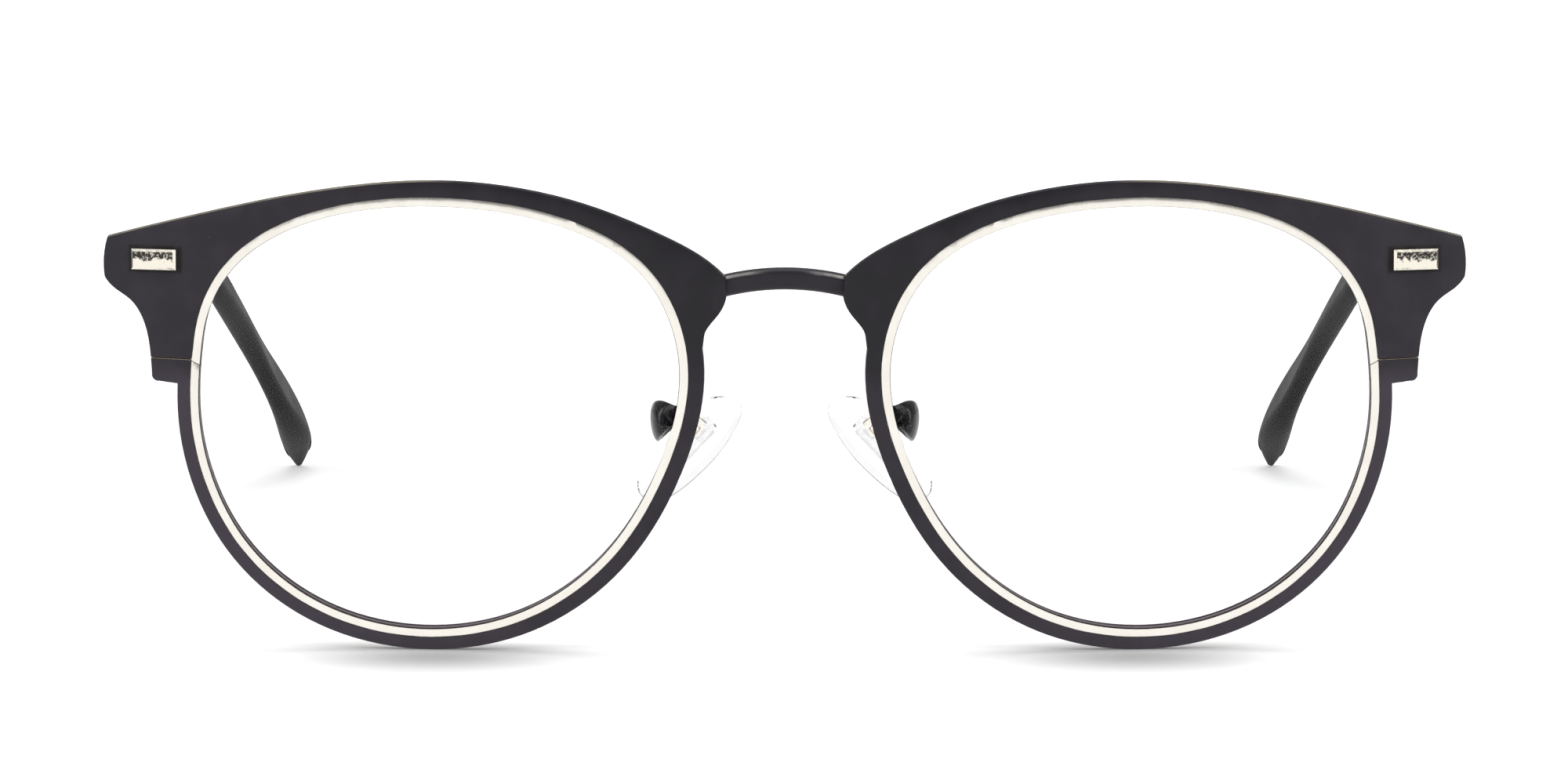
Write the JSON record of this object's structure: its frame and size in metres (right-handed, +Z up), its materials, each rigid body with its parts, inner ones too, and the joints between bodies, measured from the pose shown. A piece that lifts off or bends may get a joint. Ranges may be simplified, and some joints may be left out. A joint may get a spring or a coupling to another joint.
{
  "type": "eyeglasses",
  "caption": "Browline eyeglasses with full metal eyewires, clear lenses, folding temples with acetate tips and rocking nose pads.",
  "frame": {"origin": "on the table, under the middle of the open glasses (centre of the box's bottom)", "axes": "+Z up, -Y the way the lenses face, +Y along the open temples, +X the wearer's left"},
  "size_m": [0.1392, 0.1464, 0.0488],
  "materials": {
    "black_lacquer": "satin black lacquer on metal",
    "pale_silver": "pale warm silver plating, lightly polished",
    "polished_silver": "polished, lightly hammered silver plating",
    "screw_steel": "turned stainless steel",
    "lens_clear": "clear lens with antireflection coating",
    "pad_silicone": "clear soft silicone",
    "pad_insert": "clear hard plastic",
    "nylon": "natural nylon",
    "tip_acetate": "dark grey acetate, tumbled satin"
  },
  "bodies": {
    "front": {"bridge": "black_lacquer", "left_front_plate": "black_lacquer", "left_eyewire": "pale_silver", "left_lens": "lens_clear", "left_brow_stud": "polished_silver", "left_endpiece": "black_lacquer", "left_upper_closing_block": "black_lacquer", "left_lower_closing_block": "black_lacquer", "left_closing_screw": "screw_steel", "left_hinge_front_leaf": "black_lacquer", "left_hinge_washers": "nylon", "left_hinge_screw": "screw_steel", "left_pad_arm": "black_lacquer", "left_pad_box": "black_lacquer", "left_pad_screw": "screw_steel", "right_front_plate": "black_lacquer", "right_eyewire": "pale_silver", "right_lens": "lens_clear", "right_brow_stud": "polished_silver", "right_endpiece": "black_lacquer", "right_upper_closing_block": "black_lacquer", "right_lower_closing_block": "black_lacquer", "right_closing_screw": "screw_steel", "right_hinge_front_leaf": "black_lacquer", "right_hinge_washers": "nylon", "right_hinge_screw": "screw_steel", "right_pad_arm": "black_lacquer", "right_pad_box": "black_lacquer", "right_pad_screw": "screw_steel"},
    "left_temple": {"left_temple": "black_lacquer", "left_temple_tip": "tip_acetate", "left_hinge_temple_leaf": "black_lacquer"},
    "right_temple": {"right_temple": "black_lacquer", "right_temple_tip": "tip_acetate", "right_hinge_temple_leaf": "black_lacquer"},
    "left_pad": {"left_nose_pad": "pad_silicone", "left_pad_insert": "pad_insert"},
    "right_pad": {"right_nose_pad": "pad_silicone", "right_pad_insert": "pad_insert"}
  },
  "joints": [
    {"name": "left_temple_fold", "type": "hinge", "parent": "front", "child": "left_temple", "pos_m": [0.0657, -0.05943, 0.03852], "axis": [0, 0.1132, 0.9936], "range_deg": [0, 86]},
    {"name": "right_temple_fold", "type": "hinge", "parent": "front", "child": "right_temple", "pos_m": [-0.0657, -0.05943, 0.03852], "axis": [0, -0.1132, -0.9936], "range_deg": [0, 80]},
    {"name": "left_pad_rock", "type": "hinge", "parent": "front", "child": "left_pad", "pos_m": [0.00968, -0.06209, 0.02247], "axis": [0.4319, 0.8028, 0.411], "range_deg": [-10, 10]},
    {"name": "right_pad_rock", "type": "hinge", "parent": "front", "child": "right_pad", "pos_m": [-0.00968, -0.06209, 0.02247], "axis": [-0.4319, 0.8028, 0.411], "range_deg": [-10, 10]}
  ]
}
